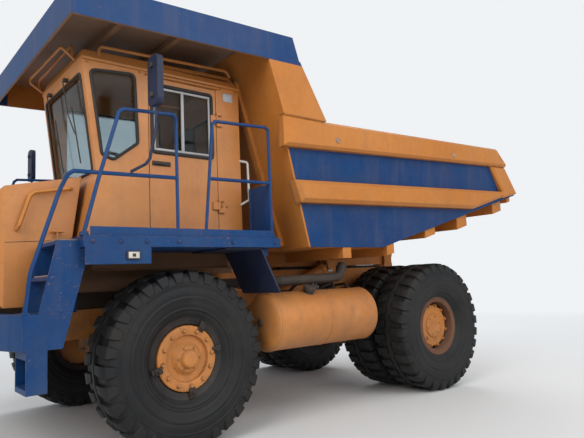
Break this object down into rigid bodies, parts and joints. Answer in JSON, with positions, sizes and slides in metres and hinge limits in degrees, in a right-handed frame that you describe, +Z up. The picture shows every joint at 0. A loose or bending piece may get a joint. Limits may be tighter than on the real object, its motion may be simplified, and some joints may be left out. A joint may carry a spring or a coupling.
{
  "type": "mining dump truck",
  "caption": "Rigid two-axle mining dump truck: ladder frame, offset cab under a canopy on the tipping body, twin rear wheels, hoist cylinders, walkway decks and rails.",
  "frame": {"origin": "bottom centre of the bounding box, on the ground under the middle of the truck", "axes": "+Z up, the front faces -Y, the truck's left side is +X"},
  "size_m": [4.11, 7.11, 4.0003],
  "materials": {
    "orange_paint": "faded gloss orange paint, dusty",
    "blue_paint": "faded gloss blue paint, scratched along its edges",
    "dark_paint": "satin black paint",
    "steel": "bright ground steel",
    "cast": "rough casting, painted grey",
    "tyre": "black tread rubber",
    "glass": "tinted safety glass",
    "lamp_glass": "clear lamp glass",
    "seat_cloth": "dark seat cover",
    "trim": "black moulded plastic"
  },
  "bodies": {
    "chassis": {"frame": "orange_paint", "front_bumper": "blue_paint", "stairs": "blue_paint", "nose_panel": "orange_paint", "grille": "dark_paint", "hood": "orange_paint", "engine": "cast", "decks": "blue_paint", "handrails": "blue_paint", "cab_shell": "orange_paint", "cab_glass": "glass", "seat": "seat_cloth", "controls": "trim", "mirrors": "blue_paint", "fuel_tank": "orange_paint", "hydraulic_tank": "orange_paint", "exhaust_pipe": "steel", "air_cleaner": "dark_paint", "mud_guards": "blue_paint", "lamps": "lamp_glass", "front_axle": "orange_paint", "rear_axle": "orange_paint", "suspension_struts": "cast"},
    "dump_body": {"body_floor": "orange_paint", "body_sides": "orange_paint", "body_ribs": "orange_paint", "body_canopy": "orange_paint", "body_underframe": "orange_paint"},
    "hoist_barrel_left": {"hoist_barrel_left": "orange_paint"},
    "hoist_barrel_right": {"hoist_barrel_right": "orange_paint"},
    "hoist_rod_left": {"hoist_rod_left": "steel"},
    "hoist_rod_right": {"hoist_rod_right": "steel"},
    "knuckle_left": {"knuckle_left": "cast"},
    "knuckle_right": {"knuckle_right": "cast"},
    "tie_rod": {"tie_rod": "steel"},
    "front_wheel_left": {"front_rim_left": "orange_paint", "front_tyre_left": "tyre"},
    "front_wheel_right": {"front_rim_right": "orange_paint", "front_tyre_right": "tyre"},
    "rear_wheels_left": {"rear_rims_left": "orange_paint", "rear_tyres_left": "tyre"},
    "rear_wheels_right": {"rear_rims_right": "orange_paint", "rear_tyres_right": "tyre"},
    "door": {"cab_door": "orange_paint", "cab_door_glass": "glass"}
  },
  "joints": [
    {"name": "body_tilt", "type": "hinge", "parent": "chassis", "child": "dump_body", "pos_m": [0, 2.055, 1.47], "axis": [-1, 0, 0], "range_deg": [0, 55]},
    {"name": "hoist_swing_left", "type": "hinge", "parent": "chassis", "child": "hoist_barrel_left", "pos_m": [0.6, -0.6, 1.1], "axis": [1, 0, 0], "range_deg": [0, 15.52]},
    {"name": "hoist_stroke_left", "type": "slide", "parent": "hoist_barrel_left", "child": "hoist_rod_left", "axis": [0, 0.9235, 0.3836], "range_m": [0, 1.154]},
    {"name": "hoist_swing_right", "type": "hinge", "parent": "chassis", "child": "hoist_barrel_right", "pos_m": [-0.6, -0.6, 1.1], "axis": [1, 0, 0], "range_deg": [0, 15.52]},
    {"name": "hoist_stroke_right", "type": "slide", "parent": "hoist_barrel_right", "child": "hoist_rod_right", "axis": [0, 0.9235, 0.3836], "range_m": [0, 1.154]},
    {"name": "steer_left", "type": "hinge", "parent": "chassis", "child": "knuckle_left", "pos_m": [1.13, -1.995, 0.805], "axis": [0, 0, 1], "range_deg": [-35, 35]},
    {"name": "steer_right", "type": "hinge", "parent": "chassis", "child": "knuckle_right", "pos_m": [-1.13, -1.995, 0.805], "axis": [0, 0, 1], "range_deg": [-35, 35]},
    {"name": "tie_rod_shift", "type": "slide", "parent": "chassis", "child": "tie_rod", "axis": [1, 0, 0], "range_m": [-0.19, 0.19]},
    {"name": "front_wheel_left_spin", "type": "hinge", "parent": "knuckle_left", "child": "front_wheel_left", "pos_m": [1.39, -1.995, 0.805], "axis": [1, 0, 0], "continuous": true},
    {"name": "front_wheel_right_spin", "type": "hinge", "parent": "knuckle_right", "child": "front_wheel_right", "pos_m": [-1.39, -1.995, 0.805], "axis": [1, 0, 0], "continuous": true},
    {"name": "rear_wheels_left_spin", "type": "hinge", "parent": "chassis", "child": "rear_wheels_left", "pos_m": [1.255, 1.555, 0.805], "axis": [1, 0, 0], "continuous": true},
    {"name": "rear_wheels_right_spin", "type": "hinge", "parent": "chassis", "child": "rear_wheels_right", "pos_m": [-1.255, 1.555, 0.805], "axis": [1, 0, 0], "continuous": true},
    {"name": "cab_door_hinge", "type": "hinge", "parent": "chassis", "child": "door", "pos_m": [1.42, -1.513, 2.7], "axis": [0, 0, 1], "range_deg": [0, 42]}
  ],
  "couplings": [
    {"joint": "hoist_swing_left", "follows": "body_tilt", "ratio": 0.28128},
    {"joint": "hoist_stroke_left", "follows": "body_tilt", "m_per_rad": 1.2011},
    {"joint": "hoist_swing_right", "follows": "body_tilt", "ratio": 0.28128},
    {"joint": "hoist_stroke_right", "follows": "body_tilt", "m_per_rad": 1.2011},
    {"joint": "steer_right", "follows": "steer_left", "ratio": 1},
    {"joint": "tie_rod_shift", "follows": "steer_left", "m_per_rad": -0.3}
  ]
}
